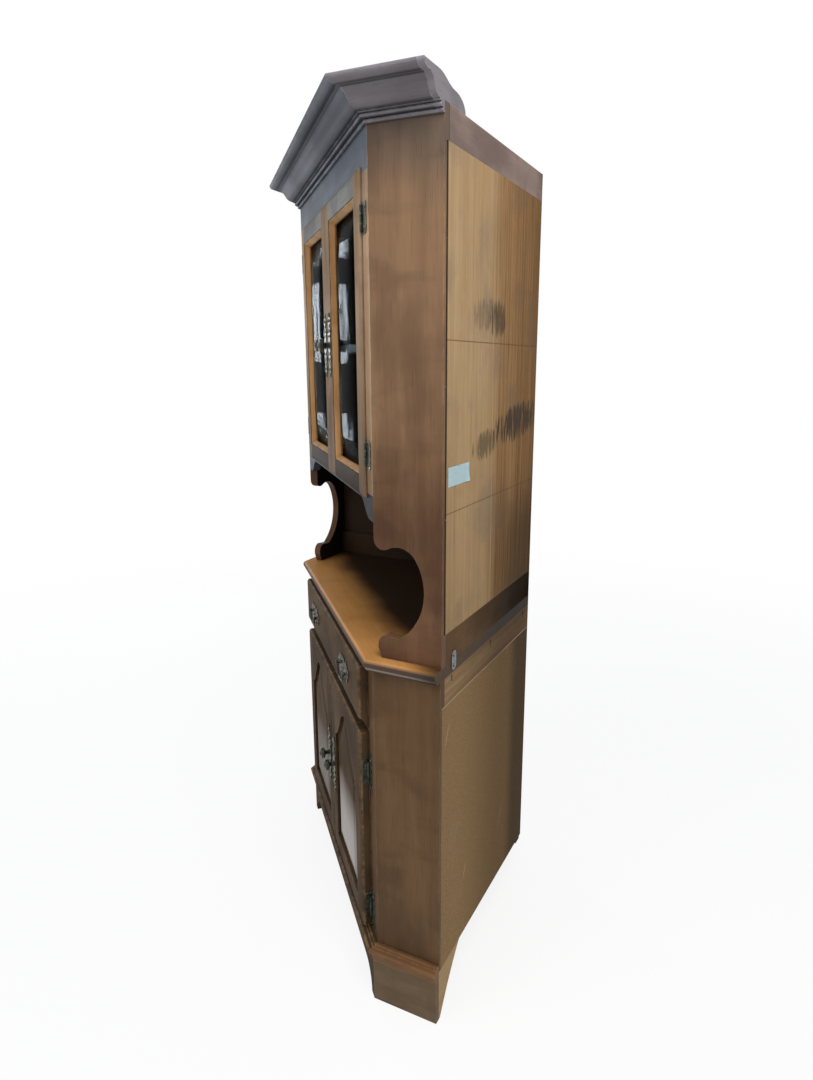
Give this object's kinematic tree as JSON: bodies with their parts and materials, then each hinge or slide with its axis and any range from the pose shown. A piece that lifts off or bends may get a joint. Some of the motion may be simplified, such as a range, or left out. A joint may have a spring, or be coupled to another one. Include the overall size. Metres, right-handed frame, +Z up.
{
  "type": "corner china cabinet",
  "caption": "Wooden corner cabinet: glazed upper doors under a crown, open shelf with scrolled side cut-outs, moulded counter, drawer with bail pulls and arched panel doors on a shaped base.",
  "frame": {"origin": "on the floor under the middle of the cabinet's outer box", "axes": "+X to the right seen from the front, +Y towards the room's corner, +Z up; the doors face -Y"},
  "size_m": [1.0434, 0.5286, 1.813],
  "materials": {
    "case_wood": "nutmeg brown stained maple under a worn satin lacquer",
    "counter_wood": "lighter orange brown stained maple under a satin lacquer",
    "crown_wood": "greyish dark brown stained maple, dusty",
    "dark_wood": "dark brown stained wood, matt",
    "bare_wood": "unfinished plywood, hardboard and pine, dry and matt",
    "glass": "clear bulged cabinet glass",
    "old_brass": "antiqued dark brass with rubbed bright edges",
    "zinc_steel": "zinc plated steel, dull"
  },
  "bodies": {
    "root": {"base_wing_left": "case_wood", "base_wing_right": "case_wood", "base_stiles": "case_wood", "base_rails": "case_wood", "base_floor": "bare_wood", "base_shelf": "bare_wood", "drawer_runners": "bare_wood", "base_back_left": "bare_wood", "base_back_right": "bare_wood", "base_back_board": "dark_wood", "base_back_rails": "bare_wood", "countertop": "counter_wood", "base_moulding_front": "case_wood", "base_moulding_sides": "case_wood", "base_plinths": "case_wood", "front_skirt": "case_wood", "foot_returns": "bare_wood", "rear_foot": "dark_wood", "hutch_wing_left": "case_wood", "hutch_wing_right": "case_wood", "hutch_stiles": "case_wood", "hutch_frieze": "case_wood", "hutch_valance": "case_wood", "hutch_floor": "dark_wood", "hutch_shelf": "dark_wood", "hutch_top": "dark_wood", "hutch_back_left": "bare_wood", "hutch_back_right": "bare_wood", "hutch_back_board": "dark_wood", "hutch_back_rails": "dark_wood", "crown_front": "crown_wood", "crown_sides": "crown_wood", "crown_ends": "crown_wood", "mending_plates": "zinc_steel", "upper_hinge_frames": "old_brass", "lower_hinge_frames": "old_brass"},
    "upper_door_left": {"upper_door_left_frame": "case_wood", "upper_door_left_glass": "glass", "upper_door_left_bead": "counter_wood", "upper_door_left_pull": "old_brass", "upper_door_left_hinges": "old_brass"},
    "upper_door_right": {"upper_door_right_frame": "case_wood", "upper_door_right_glass": "glass", "upper_door_right_bead": "counter_wood", "upper_door_right_pull": "old_brass", "upper_door_right_hinges": "old_brass"},
    "lower_door_left": {"lower_door_left_frame": "case_wood", "lower_door_left_panel": "case_wood", "lower_door_left_pull": "old_brass", "lower_door_left_hinges": "old_brass"},
    "lower_door_right": {"lower_door_right_frame": "case_wood", "lower_door_right_panel": "case_wood", "lower_door_right_pull": "old_brass", "lower_door_right_hinges": "old_brass"},
    "drawer": {"drawer_front": "case_wood", "drawer_box": "bare_wood", "drawer_bottom": "bare_wood", "drawer_pull_plates": "old_brass"},
    "bail_left": {"drawer_bail_left": "old_brass"},
    "bail_right": {"drawer_bail_right": "old_brass"}
  },
  "joints": [
    {"name": "upper_door_left_swing", "type": "hinge", "parent": "root", "child": "upper_door_left", "pos_m": [-0.3301, -0.19535, 1.4], "axis": [0, 0, -1], "range_deg": [0, 110]},
    {"name": "upper_door_right_swing", "type": "hinge", "parent": "root", "child": "upper_door_right", "pos_m": [0.3301, -0.19535, 1.4], "axis": [0, 0, 1], "range_deg": [0, 110]},
    {"name": "lower_door_left_swing", "type": "hinge", "parent": "root", "child": "lower_door_left", "pos_m": [-0.3256, -0.20155, 0.4], "axis": [0, 0, -1], "range_deg": [0, 100]},
    {"name": "lower_door_right_swing", "type": "hinge", "parent": "root", "child": "lower_door_right", "pos_m": [0.3256, -0.20155, 0.4], "axis": [0, 0, 1], "range_deg": [0, 100]},
    {"name": "drawer_slide", "type": "slide", "parent": "root", "child": "drawer", "axis": [0, -1, 0], "range_m": [0, 0.19]},
    {"name": "bail_left_swing", "type": "hinge", "parent": "drawer", "child": "bail_left", "pos_m": [-0.185, -0.22885, 0.709], "axis": [-1, 0, 0], "range_deg": [-8, 85]},
    {"name": "bail_right_swing", "type": "hinge", "parent": "drawer", "child": "bail_right", "pos_m": [0.185, -0.22885, 0.709], "axis": [-1, 0, 0], "range_deg": [-8, 85]}
  ]
}
